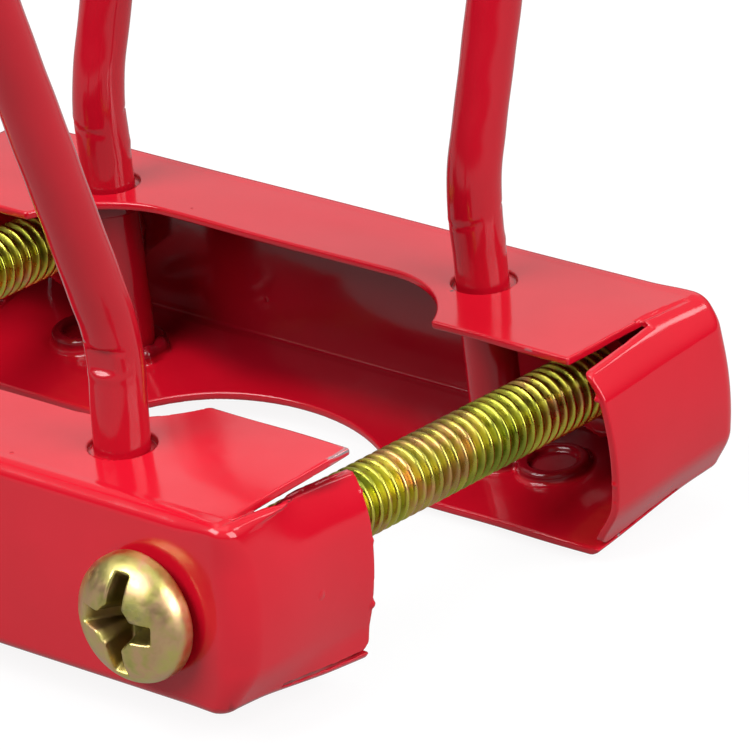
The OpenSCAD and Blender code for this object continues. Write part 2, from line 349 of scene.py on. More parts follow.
def sweep(path, radius, sides, start):
    """A tube along path. radius(i, angle) gives its radius; angle 0 is at `start` at first."""
    tangents = np.gradient(path, axis=0)
    tangents /= np.linalg.norm(tangents, axis=1)[:, None]
    angle = np.linspace(0, 2 * math.pi, sides, endpoint=False)
    across = np.array(start, float)
    rings = []
    for i, tangent in enumerate(tangents):
        across = across - tangent * (across @ tangent)
        across /= np.linalg.norm(across)
        other = np.cross(tangent, across)
        r = radius(i, angle)
        rings.append(path[i] + (np.cos(angle) * r)[:, None] * across
                     + (np.sin(angle) * r)[:, None] * other)
    return capped_tube(np.concatenate(rings), sides, (path[0], path[-1]), True)


def finish(piece, body, cad_piece, material):
    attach(piece, body)
    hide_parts(cad_piece)
    piece.data.materials.append(material)


# ---------------------------------------------------------------- jaws
EDGE_ROUND = 0.32
# small balls of metal on the gripping edges: centre and radius
SPATTER = {
    "front": (((51.3, 21.8, 5.1), 0.42), ((50.55, 21.8, 17.6), 0.28), ((51.75, 21.8, 12.4), 0.24)),
    "back": (((52.8, 21.8, 18.0), 0.36), ((54.0, 21.8, 8.0), 0.27), ((20.0, 21.9, 21.8), 0.3)),
}


def flap_face(is_front, x, y, z, under):
    """Outer face of the end flaps: barrelled, rolled in at the front jaw, bowed out at the back."""
    middle = HEIGHT / 2
    radius = (middle * middle + BARREL * BARREL) / (2 * BARREL)
    inset = np.maximum(np.abs(x) - (HALF_JAW + BARREL - radius), 0.01)
    face = np.hypot(inset, z - middle) - radius
    if is_front:
        below = 1 - ease((z - under + 0.5) / 0.45)
        toe = (0.9 * ease((y - 5) / 15) * ease((z + 2) / 5)
               + 0.95 * ease((z - 14) / 8) * ease((y - 3) / 10))
        return face + toe * below + 1.1 * ease((5 - z) / 5.5) * (1 - ease((y - 2) / 15))
    right = x > 0
    bow = 1.25 * right + 0.2
    return (face - bow * ease((z + 0.2) / 5.5) * ease((HEIGHT + 1 - z) / 5)
            - 0.25 * right * ease((y - 8) / 12))


def folded_sheet(is_front, x, y, z, run, flap):
    """The box of web, flanges and flaps, hollowed to the sheet's thickness."""
    # sheet that isn't quite flat
    wave = (0.10 * np.sin(x * 0.085 + 0.7) * np.sin(y * 0.19 + 0.4)
            + 0.05 * np.sin(x * 0.21 + y * 0.13))
    top = z - (TOP_EDGE + TOP_GRADE * run) + wave * ease((y - 2) / 6)
    sag = 0.62 * ease((-x - 10) / 15) * (not is_front)
    bottom = (-BOTTOM_SLOPE * run * (1 + sag) - z - 0.28 * ease((7 - y) / 6)
              - 0.6 * wave * ease((y - 2) / 6))
    web = -y + 0.06 * np.sin(x * 0.12 + 1.3) * np.sin(z * 0.21)
    # the corner is soft at mid height and tightens towards the folds
    tight, wide = 1.9, 3.4 if is_front else 2.4
    corner = tight + (wide - tight) * ease((np.minimum(z, HEIGHT - z) - 0.2) / 6)
    box = meet(web, flap, corner)
    near_flap = ease((np.abs(x) - 44) / 5)
    box = meet(box, top, 1.75 * (1 - near_flap) + 1.3 * near_flap)
    box = meet(box, bottom, 1.35 * (1 - near_flap) + 1.1 * near_flap)
    sheet = np.abs(box + SHEET / 2) - SHEET / 2
    # gripping edge
    return meet(sheet, y - REACH + 0.05 * np.sin(x * 0.4), EDGE_ROUND)


def cut_openings(sheet, is_front, out, y, z):
    # long notch in the top flange, with round ends
    notch_y = 14.0 if is_front else 13.2
    notch_half, notch_r = 17, 14.4
    notch_end = np.hypot(out - notch_half, y - notch_y - notch_r) - notch_r
    notch = np.where(out < notch_half, notch_y - y, notch_end)
    sheet = cut(sheet, np.maximum(notch, (HEIGHT - 5) - z), EDGE_ROUND)
    # round cut-out in the bottom flange
    sheet = cut(sheet, np.maximum(np.hypot(out, y - WEB_Y) - 28.4, z - 5), EDGE_ROUND)
    # screw holes
    screw = np.hypot(out - SCREW_X, z - SCREW_Z) - 5.0
    sheet = cut(sheet, np.maximum(screw, y - 4), 0.25)
    # collared handle holes in the top flange
    hole = np.hypot(out - ROD_X - 0.12, y - ROD_Y + 0.05)
    collar = meet(hole - 4.4, np.abs(z - (HEIGHT - 1.75)) - 0.95, 0.4)
    sheet = join(sheet, collar, 0.4)
    sheet = cut(sheet, np.maximum(hole - 3.62, (HEIGHT - 0.60) - z), 0.24)
    bore = np.hypot(out - ROD_X, y - ROD_Y) - 2.6
    return np.maximum(sheet, -np.maximum(bore, (HEIGHT - 4) - z))


def cut_top_slits(sheet, is_front, out, y, z, under, flap):
    """V slits between the flaps and the top flange, with the flaps' own top edge."""
    slit_y = 3.0 if is_front else 10.0
    tip_drop = 1.4 if is_front else 0.4
    t = (y - slit_y) / (REACH - slit_y + 1)
    inner_x = FLAP_IN - 0.1
    flange_end = inner_x + (FLANGE - inner_x) * t
    flap_side = out - (FLAP_IN - 0.02) if is_front else flap + SHEET + 0.02
    wedge = overlap(flange_end - out, flap_side, slit_y - y)
    line = (HEIGHT - SHEET / 2) - tip_drop * t
    floor = line - 0.15 if is_front else HEIGHT - 4
    sheet = cut(sheet, np.maximum(wedge, floor - z), 0.22)
    above = overlap(-meet(z - line, y - REACH, 0.9), inner_x - out, slit_y - y, 6 - z)
    sheet = cut(sheet, above, 0.4 if is_front else 0.3)
    if is_front:
        above = overlap(line - z, 47.5 - out, slit_y - y, -(under - 0.03 - z))
        sheet = cut(sheet, above, 0.3)
    # the slit runs on as a fine crease to the corner
    crease_x = FLAP_IN - 0.04 + (slit_y - y) * (0.03 if is_front else 0.10)
    crease = np.hypot(out - crease_x, z - (under + SHEET + 0.24)) - 0.42
    crease_end = (0.9 if is_front else 3.0) - y
    return cut(sheet, overlap(crease, y - slit_y - 0.6, crease_end), 0.2)


def cut_bottom_slits(sheet, out, y, z, run):
    """Thin slits above the bottom flange, and the flaps' rounded lower corners."""
    slit_y = 8.5
    floor_z = SHEET - BOTTOM_SLOPE * run
    start_x = FLAP_IN - 0.5
    slot = overlap(np.abs(z - floor_z - 0.14) - 0.19, start_x - out, slit_y - y)
    sheet = cut(sheet, slot, 0.08)
    low = (floor_z + 0.14 + 0.10 * ease((y - 8) / 6)) - z
    corner = meet(y - REACH, low, 1.7)
    return cut(sheet, overlap(-corner, start_x - out, slit_y - y, -(z - floor_z - 0.14)), 0.2)


def add_rings_and_welds(sheet, side, x, out, y, z):
    # low pressed rings in the bottom flange
    ring_x, ring_y = 35.4, 10.2
    flange_z = SHEET - BOTTOM_SLOPE * (ring_y - BEND)
    from_ring = np.hypot(out - ring_x, y - ring_y)
    ring = meet(from_ring - 4.1, z - (flange_z + 1.05), 0.55)
    ring = meet(ring, (flange_z - 0.7) - z, 0.1)
    ring = cut(ring, np.maximum(from_ring - 2.75, (flange_z + 0.15) - z), 0.45)
    sheet = join(sheet, ring, 0.7)
    # weld at each handle foot
    angle = np.arctan2(y - ROD_Y, out - ROD_X)
    from_weld = np.hypot(out - ROD_X, y - ROD_Y) - 3.5
    bead_r = 0.95 + 0.16 * np.sin(angle * 9 + x) + 0.1 * np.sin(angle * 4 + 1)
    sheet = join(sheet, np.hypot(from_weld, z - (flange_z + 0.25)) - bead_r, 0.5)
    for centre, radius in SPATTER[side]:
        ball = np.sqrt((x - centre[0]) ** 2 + (y - centre[1]) ** 2 + (z - centre[2]) ** 2) - radius
        sheet = join(sheet, ball, 0.35)
    return sheet


def jaw_field(side):
    """The folded sheet jaw in its own frame."""
    is_front = side == "front"

    def field(x, y, z):
        out = np.abs(x)
        run = np.maximum(y - BEND, 0)
        under = TOP_EDGE - SHEET + TOP_GRADE * run      # underside of the top flange
        flap = flap_face(is_front, x, y, z, under)
        sheet = folded_sheet(is_front, x, y, z, run, flap)
        sheet = cut_openings(sheet, is_front, out, y, z)
        sheet = cut_top_slits(sheet, is_front, out, y, z, under, flap)
        sheet = cut_bottom_slits(sheet, out, y, z, run)
        return add_rings_and_welds(sheet, side, x, out, y, z)

    return field


def make_jaw(side, material):
    field = jaw_field(side)
    jaw = field_object(f"{side}_jaw_sheet", field, (-55.8, -1.0, -4.0), (55.8, 23.2, 24.4),
                       0.25, side, ratio=0.40)
    # "edge": how near each point is to a cut edge, where paint thins and a painted highlight goes
    local = unplaced(side, mesh_points(jaw.data))
    probe = 0.42
    below = local - gradient(field, local) * probe
    add_attribute(jaw, "edge", np.clip((field(*below.T) + probe) / probe, 0, 1))
    # "inside": the hollow of the channel, where the paint is darkened as painted shade
    x, y, z = local.T
    room = reduce(np.minimum, (y - 0.6, 50.4 - np.abs(x), z - 0.2,
                               HEIGHT - 0.9 + TOP_SLOPE * y - z))
    add_attribute(jaw, "inside", ease(room / 0.5) * ease((REACH + 0.5 - y) / 6))
    finish(jaw, f"{side}_grip", f"{side}_jaw", material)


# ---------------------------------------------------------------- handles
def handle_path():
    """The rod's centre line in the jaw's frame, from the right foot over the crossbar to the left.

    Also gives each point's distance past the bend, and the number of points in the right half.
    """
    bend_r = 24.0
    lap = bend_r * math.tan(LEAN / 2)
    arm = np.array([0, -math.sin(LEAN), math.cos(LEAN)])
    bend = np.array([ROD_X, ROD_Y, BEND_Z])
    foot_z = SHEET - BOTTOM_SLOPE * (ROD_Y - BEND) + 0.05
    heights = np.concatenate([np.linspace(foot_z, BEND_Z - lap - 4, 18),
                              np.linspace(BEND_Z - lap - 3.7, BEND_Z - lap, 13)])
    points = [[ROD_X, ROD_Y, z] for z in heights]
    past_bend = [z - BEND_Z for z in heights]
    centre = np.array([ROD_X, ROD_Y - bend_r, BEND_Z - lap])
    for k in range(1, 29):
        angle = LEAN * k / 28
        points.append(centre + [0, bend_r * math.cos(angle), bend_r * math.sin(angle)])
        past_bend.append((angle / LEAN - 0.5) * bend_r * LEAN)
    for along in np.concatenate([np.linspace(lap + 0.4, lap + 4, 9),
                                 np.linspace(lap + 5.2, ARM - ELBOW, 40)]):
        points.append(bend + arm * along)
        past_bend.append(along)
    for k in range(1, 25):
        angle = math.pi / 2 * k / 24
        points.append(bend + arm * (ARM - ELBOW + ELBOW * math.sin(angle))
                      + np.array([-(ELBOW - ELBOW * math.cos(angle)), 0, 0]))
    _, bar_y, bar_z = bend + arm * ARM
    points += [[x, bar_y, bar_z] for x in np.linspace(ROD_X - ELBOW - 1.3, 0, 12)]
    # the elbow and crossbar only need to count as far from the bend
    past_bend += [60.0] * (len(points) - len(past_bend))
    half = len(points)
    points, past_bend = np.array(points), np.array(past_bend)
    left = points[:-1][::-1] * [-1, 1, 1]
    return (np.concatenate([points, left]), np.concatenate([past_bend, past_bend[:-1][::-1]]),
            half)


HANDLE, PAST_BEND, RIGHT_HALF = handle_path()
HANDLE_RUN = np.concatenate([[0], np.cumsum(np.linalg.norm(np.diff(HANDLE, axis=0), axis=1))])


def handle_radius(side):
    # phase of the unevenness; place and half length of the tool's flat
    phase, flat_at, half = (0.0, -1.1, 1.75) if side == "front" else (2.1, -4.0, 2.3)

    def radius(i, angle):
        run = HANDLE_RUN[i]
        hand = 1 if i < RIGHT_HALF else -1
        r = (ROD_R + 0.022 * np.sin(run * 0.35 + phase)
             + 0.018 * np.sin(run * 0.9 + 3 * angle + phase)
             + 0.015 * np.sin(2 * angle + run * 0.12))
        # the flat on the inside of the bend, and a slight swell round it
        t = PAST_BEND[i] - flat_at
        flat_r = ROD_R - 0.60 * ease((half - abs(t)) / 0.45)
        facing = np.cos(angle - 0.12 * hand)
        r = np.minimum(r, np.where(facing > 0.2, flat_r / np.maximum(facing, 0.2), 9))
        swell = 0.09 * math.exp(-((t + half + 0.5) / 0.5) ** 2)
        r = r + swell * (facing > 0.2) * np.clip(facing, 0, 1)
        # a slanting groove at the flat's upper end
        turn = np.angle(np.exp(1j * angle))
        off = t - half + 0.1 + 0.6 * (turn * hand)
        r = r - 0.15 * np.exp(-(off / 0.22) ** 2) * ease((1.35 - np.abs(turn)) / 0.3)
        r = r + 0.07 * math.exp(-(t / 4.0) ** 2) * np.cos(angle + math.pi / 2) ** 2
        # an oblique tool mark on the outside of the bend
        turn = np.angle(np.exp(1j * (angle - math.pi)))
        off = t + 0.55 * turn
        reach = ease((1.0 - np.abs(turn)) / 0.35)
        return (r - 0.13 * np.exp(-(off / 0.32) ** 2) * reach
                + 0.05 * np.exp(-((off - 0.7) / 0.4) ** 2) * reach)

    return radius


def make_handle(side, material):
    points, faces = sweep(HANDLE, handle_radius(side), sides=56, start=(0, -1, 0))
    rod = mesh_object(f"{side}_handle_rod", points, faces, side=side)
    finish(rod, f"{side}_grip", f"{side}_handle", material)


# ---------------------------------------------------------------- spring bars
BAR_Z = BEND_Z + BAR_UP_ARM * math.cos(LEAN)
BAR_Y = ROD_Y - BAR_UP_ARM * math.sin(LEAN)
SEAT_Y = BAR_Y + ROD_R + 1.6


def bar_field(x, y, z):
    """A bar between the handle's legs, with its welds and a round spring seat."""
    out = np.abs(x)
    from_bar = np.hypot(y - BAR_Y, z - BAR_Z)
    bar = np.maximum(from_bar - ROD_R, out - ROD_X)
    # the leg beside it
    across = (y - ROD_Y) * math.cos(LEAN) + (z - BEND_Z) * math.sin(LEAN)
    leg = np.hypot(out - ROD_X, across) - ROD_R
    angle = np.arctan2(z - BAR_Z, y - BAR_Y)
    weld = 1.5 + 0.18 * np.sin(angle * 7 + x * 0.1) + 0.12 * np.sin(angle * 11)
    solid = overlap(join(bar, leg, weld), -(leg + 0.45), from_bar - 5.3, out - ROD_X)
    # spring seat and its stud
    from_axis = np.hypot(x, z - BAR_Z)
    seat = meet(from_axis - 8, np.abs(y - (SEAT_Y - 1)) - 1, 0.45)
    solid = join(solid, seat, 1.1 + 0.12 * np.sin(x * 4))
    stud = meet(from_axis - 4, y - (SEAT_Y + 4.2), 0.9)
    return join(solid, np.maximum(stud, (SEAT_Y - 1) - y), 0.35)


def make_bar(side, material):
    bar = field_object(f"{side}_spring_bar_welded", bar_field, (-29, BAR_Y - 6, BAR_Z - 9.2),
                       (29, SEAT_Y + 5.4, BAR_Z + 9.2), 0.32, side, ratio=0.45)
    finish(bar, f"{side}_grip", f"{side}_spring_bar", material)


# ---------------------------------------------------------------- handle spring
_, FRONT_SEAT_Y, FRONT_SEAT_Z = placed("front", (0, SEAT_Y, BAR_Z))
_, BACK_SEAT_Y, BACK_SEAT_Z = placed("back", (0, SEAT_Y, BAR_Z))
WIRE, SPRING_D = 1.6, 13.0
TURNS, CLOSED_TURNS = 15, 1.5       # all turns, and the closed ones at each end
SPRING_R = (SPRING_D - WIRE) / 2
SPRING_Y0 = FRONT_SEAT_Y + SPRING_R * math.sin(FRONT_TILT) + WIRE / 2 + 0.12
SPRING_Y1 = BACK_SEAT_Y - (SPRING_R * math.sin(BACK_TILT) + WIRE / 2 + 0.12)
SPRING_LEN = SPRING_Y1 - SPRING_Y0
CUT1, CUT2 = 4.5, 11.5              # the turns where one length ends and the next starts


def coil_run(turn):
    """Distance along the spring after so many turns."""
    pitch = WIRE * 1.03
    open_run = ((turn - CLOSED_TURNS) / (TURNS - 2 * CLOSED_TURNS)
                * (SPRING_LEN - 2 * CLOSED_TURNS * pitch))
    return np.where(turn < CLOSED_TURNS, turn * pitch,
                    np.where(turn > TURNS - CLOSED_TURNS, SPRING_LEN - (TURNS - turn) * pitch,
                             CLOSED_TURNS * pitch + open_run))


def make_coil(name, first, last):
    turn = np.linspace(first, last, int((last - first) * 44) + 1)
    run = coil_run(turn)
    # the pitch eases into the closed end turns
    padded = np.pad(run, 4, mode="reflect", reflect_type="odd")
    smooth = np.convolve(padded, np.ones(9) / 9, mode="valid")
    changing = ((np.abs(turn - CLOSED_TURNS) < 0.4)
                | (np.abs(turn - (TURNS - CLOSED_TURNS)) < 0.4))
    run = np.where(changing, smooth, run)
    z = FRONT_SEAT_Z + (BACK_SEAT_Z - FRONT_SEAT_Z) * run / SPRING_LEN
    angle = 2 * math.pi * turn
    path = np.stack([SPRING_R * np.cos(angle), SPRING_Y0 + run, z + SPRING_R * np.sin(angle)], 1)

    def radius(i, angle):
        # the wire tapers over half a turn at the spring's ends
        from_end = min(turn[i], TURNS - turn[i])
        return np.full_like(angle, WIRE / 2 * (0.62 + 0.38 * float(ease(from_end / 0.5))))

    return mesh_object(name, *sweep(path, radius, sides=16, start=(0, 1, 0)))


def make_spring(material):
    """Three lengths: the front and middle ones go with the spring's body, each with a mesh of its
    own, and the back one stays with its seat."""
    y1 = float(SPRING_Y0 + coil_run(np.array(CUT1)))
    y2 = float(SPRING_Y0 + coil_run(np.array(CUT2)))
    squeezed_tilt = math.radians(5.6)
    front_travel = ((BAR_Z - SCREW_Z) * (math.sin(squeezed_tilt) - math.sin(FRONT_TILT))
                    + SPRING_R * 0.0872)
    gap_travel = 12.0
    lap = 0.004
    # name, first and last turn, body, joint and the share of the length it keeps
    lengths = (
        ("front_end", 0, CUT1 + lap, "spring", "front_rock", 1 - front_travel / (y1 - SPRING_Y0)),
        ("middle", CUT1 - lap, CUT2 + lap, "spring", "gap_adjust", 1 - gap_travel / (y2 - y1)),
        ("back_end", CUT2 - lap, TURNS, "back_grip", None, 1),
    )
    for name, first, last, body, joint, keep in lengths:
        coil = make_coil(f"handle_spring_{name}", first, last)
        finish(coil, body, "handle_spring", material)
        if joint:
            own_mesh(coil)


# ---------------------------------------------------------------- tie screws
def head_field(x, y, z):
    """Round head with a cross recess. y is 0 under the head and negative towards its top."""
    radial = np.hypot(x, z)
    rise = np.minimum(y + RIM, 0)
    a, b = radial / HEAD_R, rise / DOME
    ratio = np.maximum(np.hypot(a, b), 1e-4)
    slope = np.maximum(np.hypot(a / HEAD_R, b / DOME), 1e-5)
    head = meet(ratio * (ratio - 1) / slope, y, 0.3)
    # recess, a little off the middle and turned
    c, s = math.cos(math.radians(4)), math.sin(math.radians(4))
    off_x, off_z = x - 0.25, z - 0.35
    u, v = off_x * c - off_z * s, off_x * s + off_z * c
    recess = 4.1
    depth = np.clip((y + HEAD_H) / recess, -0.3, 1.2)
    wide = 1.12 - 0.42 * depth
    reach = 5.35 - 3.3 * depth
    slot1 = meet(np.abs(v) - wide, np.abs(u) - reach, 0.25)
    slot2 = meet(np.abs(u) - wide, np.abs(v) - reach - 1.7, 0.25)
    core = np.hypot(u, v) - (2.5 - 1.2 * depth)
    cross = join(join(slot1, slot2, 0.35), core, 0.3)
    return cut(head, meet(cross, y - (-HEAD_H + recess), 0.3), 0.22)


def thread_mesh(sides, rows_per_turn):
    """The threaded shank along +Y from under the head."""
    rows = int(SCREW_LEN / PITCH * rows_per_turn)
    row_y = np.linspace(-0.5, SCREW_LEN, rows + 1)
    angles = np.linspace(0, 2 * math.pi, sides, endpoint=False)
    y, angle = np.meshgrid(row_y, angles, indexing="ij")
    # right-handed, seen from the head
    phase = (y / PITCH - angle / (2 * math.pi)) % 1.0
    ramp = np.clip((1 - np.abs(2 * phase - 1) - 0.10) / 0.68, 0, 1)
    profile = 0.55 * ramp + 0.45 * ease(ramp)
    depth = 0.613 * PITCH
    r = SCREW_D / 2 - depth + depth * profile * ease((y - 0.2) / 1.2)
    # bevelled tip
    r = np.minimum(r, SCREW_D / 2 - depth - 0.35 + np.maximum(SCREW_LEN - y, 0) * 1.1)
    points = np.stack([r * np.cos(angle), y, r * np.sin(angle)], -1).reshape(-1, 3)
    centres = [np.array([0, row_y[end], 0]) for end in (0, -1)]
    return capped_tube(points, sides, centres, False)


def make_screws(material):
    head, head_faces, _ = surface_nets(head_field, (-7.8, -6, -7.8), (7.8, 0.8, 7.8),
                                       0.2)
    thread, thread_faces = thread_mesh(*(((64, 13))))
    faces = np.concatenate([head_faces, thread_faces + len(head)])
    # "hollow": how deep each point lies in the recess or between the threads
    dome = np.hypot(np.hypot(head[:, 0], head[:, 2]) / HEAD_R,
                    np.minimum(head[:, 1] + RIM, 0) / DOME)
    recess = ease((0.97 - dome) / 0.22) * (head[:, 1] < -RIM)
    root = ease((SCREW_D / 2 - 0.30 - np.hypot(thread[:, 0], thread[:, 2])) / 0.5)
    hollow = np.concatenate([recess, 0.5 * root])
    for name, x, turn in (("right", SCREW_X, 0.0), ("left", -SCREW_X, 1.1)):
        c, s = math.cos(turn), math.sin(turn)
        turn_y = np.array([[c, 0, s], [0, 1, 0], [-s, 0, c]])
        points = (np.concatenate([head, thread]) @ turn_y.T
                  + [x, -(WEB_Y + HEAD_PLAY), SCREW_Z])
        screw = mesh_object(f"tie_screw_{name}_threaded", points, faces)
        add_attribute(screw, "hollow", hollow)
        finish(screw, f"tie_screw_{name}", f"tie_screw_{name}", material)


# ---------------------------------------------------------------- weld nuts
def nut_field(x, y, z):
    """A bevelled hex nut from y 0 to its thickness."""
    flats = [np.abs(x * math.sin(a) + z * math.cos(a)) - NUT_AF / 2
             for a in map(math.radians, (30, 90, 150))]
    nut = meet(meet(flats[0], flats[1], 0.25), flats[2], 0.25)
    radial = np.hypot(x, z)
    past_face = np.abs(y - NUT_T / 2) - NUT_T / 2
    nut = meet(nut, 0.866 * past_face + 0.5 * (radial - (NUT_AF / 2 - 0.1)), 0.12)
    nut = meet(nut, past_face, 0.12)
    mouth = (0.7071 * (radial - SCREW_D / 2 - 0.65)
             + 0.7071 * (NUT_T / 2 - np.abs(y - NUT_T / 2)))
    return cut(nut, np.minimum(radial - (SCREW_D / 2 + 0.05), mouth), 0.1)


def weld_nut_field(x, y, z):
    """A nut along -Y from its welded face at y 0, with beads that run out to the leaning web."""
    # the web's inner face, leaning away below
    web = (y - 0.06) - (NUT_CORNER - z) * math.sin(BACK_TILT)
    radial = np.hypot(x, z)
    angle = np.arctan2(z, x)
    spots = np.abs(((angle + 0.35) / (2 * math.pi) * 3) % 1.0 - 0.5)
    bead_r = 1.25 - 2.2 * np.maximum(spots - 0.22, 0) + 0.10 * np.sin(angle * 23)
    solid = join(nut_field(x, -y, z), np.hypot(radial - 6.9, web + 0.5) - bead_r, 0.4)
    return overlap(solid, web - 0.35, (SCREW_D / 2 + 0.05) - radial)


def make_nuts(material):
    points, faces, normals = surface_nets(weld_nut_field, (-9, -6.2, -9), (9, 2.6, 9),
                                          0.22)
    for name, x in (("right", SCREW_X), ("left", -SCREW_X)):
        nut = mesh_object(f"weld_nut_{name}_painted", points + [x, NUT_Y, SCREW_Z], faces, normals)
        finish(nut, "back_grip", f"weld_nut_{name}", material)


# ---------------------------------------------------------------- shader graphs
class Graph:
    """Short ways to add nodes to a tree."""

    def __init__(self, tree):
        self.tree = tree
        self.coords = self.add("TexCoord").outputs
        self.coord = self.coords["Object"]

    def add(self, kind, inputs=None, **props):
        node = self.tree.nodes.new("ShaderNode" + kind)
        for key, value in props.items():
            setattr(node, key, value)
        self.fill(node, inputs or {})
        return node

    def fill(self, node, inputs):
        """Links or sets a node's inputs."""
        for key, value in inputs.items():
            if isinstance(value, bpy.types.NodeSocket):
                self.tree.links.new(value, node.inputs[key])
            else:
                node.inputs[key].default_value = value

    def noise(self, scale, detail=2.0, rough=0.5, distortion=0.0, at=None):
        inputs = {"Vector": at or self.coord, "Scale": scale, "Detail": detail,
                  "Roughness": rough, "Distortion": distortion}
        return self.add("TexNoise", inputs).outputs["Fac"]

    def ramp(self, value, span, to=(0.0, 1.0)):
        """Eases from to[0] to to[1] as the value crosses the span."""
        inputs = {"Value": value, "From Min": span[0], "From Max": span[1],
                  "To Min": to[0], "To Max": to[1]}
        return self.add("MapRange", inputs, interpolation_type="SMOOTHSTEP").outputs["Result"]

    def math(self, operation, a, b):
        return self.add("Math", {0: a, 1: b}, operation=operation).outputs[0]

    def times(self, a, b):
        return self.math("MULTIPLY", a, b)

    def plus(self, a, b):
        return self.math("ADD", a, b)

    def mix(self, share, a, b):
        return self.add("Mix", {0: share, 6: a, 7: b}, data_type="RGBA").outputs[2]

    def colours(self, value, stops):
        node = self.add("ValToRGB", {"Fac": value})
        elements = node.color_ramp.elements
        while len(elements) < len(stops):
            elements.new(0.5)
        for k, (position, colour) in enumerate(stops):
            elements[k].position = position
            elements[k].color = (*colour, 1)
        return node.outputs["Color"]

    def blob(self, at, radius, soft, jag, scale=900.0):
        """1 inside a ball about `at`, in mm, with a ragged border."""
        ball = self.add("VectorMath", {0: self.coord, 1: [v * MM for v in at]},
                        operation="DISTANCE")
        ragged = self.times(self.math("SUBTRACT", self.noise(scale, detail=3), 0.5), jag * MM)
        return self.ramp(self.plus(ball.outputs["Value"], ragged),
                         (radius * MM * (1 + soft), radius * MM * (1 - soft)))

    def bump(self, height, distance, strength, normal=None):
        inputs = {"Height": height, "Distance": distance, "Strength": strength}
        if normal is not None:
            inputs["Normal"] = normal
        return self.add("Bump", inputs).outputs["Normal"]

    def attribute(self, name):
        return self.add("Attribute", attribute_name=name).outputs["Fac"]

    def node(self, kind):
        return next(n for n in self.tree.nodes if n.type == kind)


def new_material(name):
    material = bpy.data.materials.new(name)
    material.use_nodes = True
    return material, Graph(material.node_tree)


# ---------------------------------------------------------------- red powder coat
# bare metal on the gripping edges: place in the jaw's frame, radius and raggedness
BARE_SPOTS = {
    "front": [((48.9, 21.4, 21.9), 1.9, 1.0), ((49.2, 19.4, 21.8), 0.9, 0.8),
              ((51.6, 21.9, 4.5), 0.35, 0.5), ((-49.0, 21.5, 21.9), 1.2, 0.8)],
    "back": [((50.0, 21.9, 18.6), 0.55, 0.4), ((44.0, 22.0, 21.9), 0.5, 0.4),
             ((-49.0, 21.4, 21.8), 1.0, 0.8)],
}


def scattered_cells(g, scale, channel, chosen):
    """Distance to the nearest cell centre, and 1 in the cells whose random value is high."""
    cells = g.add("TexVoronoi", {"Vector": g.coord, "Scale": scale})
    random = g.add("SeparateColor", {"Color": cells.outputs["Color"]})
    return cells.outputs["Distance"], g.ramp(random.outputs[channel], chosen)


def worn_edges(g, side, base):
    """The sheet's colour with lighter edges (thinner paint and a painted highlight), dirty edges
    and painted shade in the hollow, and its bare metal.
    """
    edge = g.attribute("edge")
    chips = g.noise(scale=520, detail=4, rough=0.65)
    bare = g.times(g.ramp(edge, (0.45, 0.80)), g.ramp(chips, (0.66, 0.72)))
    # the cut edges are lighter: thinner paint there, and partly a painted highlight
    base = g.mix(g.ramp(edge, (0.35, 0.9), to=(0.0, 0.30)), base, (0.70, 0.018, 0.045, 1))
    grime = g.times(g.ramp(edge, (0.25, 0.6)), g.ramp(g.noise(scale=300, detail=3), (0.60, 0.72)))
    base = g.mix(g.times(grime, 0.35), base, (0.10, 0.004, 0.008, 1))
    # painted shade: the channel's hollow is darkened towards a deep red
    base = g.mix(g.times(g.attribute("inside"), 0.70), base, (0.10, 0.002, 0.006, 1))
    for at, radius, jag in BARE_SPOTS[side]:
        spot = g.blob(placed(side, at), radius, soft=0.35, jag=jag)
        bare = g.math("MAXIMUM", bare, g.times(spot, g.ramp(edge, (0.10, 0.45))))
    return g.mix(bare, base, (0.56, 0.54, 0.55, 1)), bare


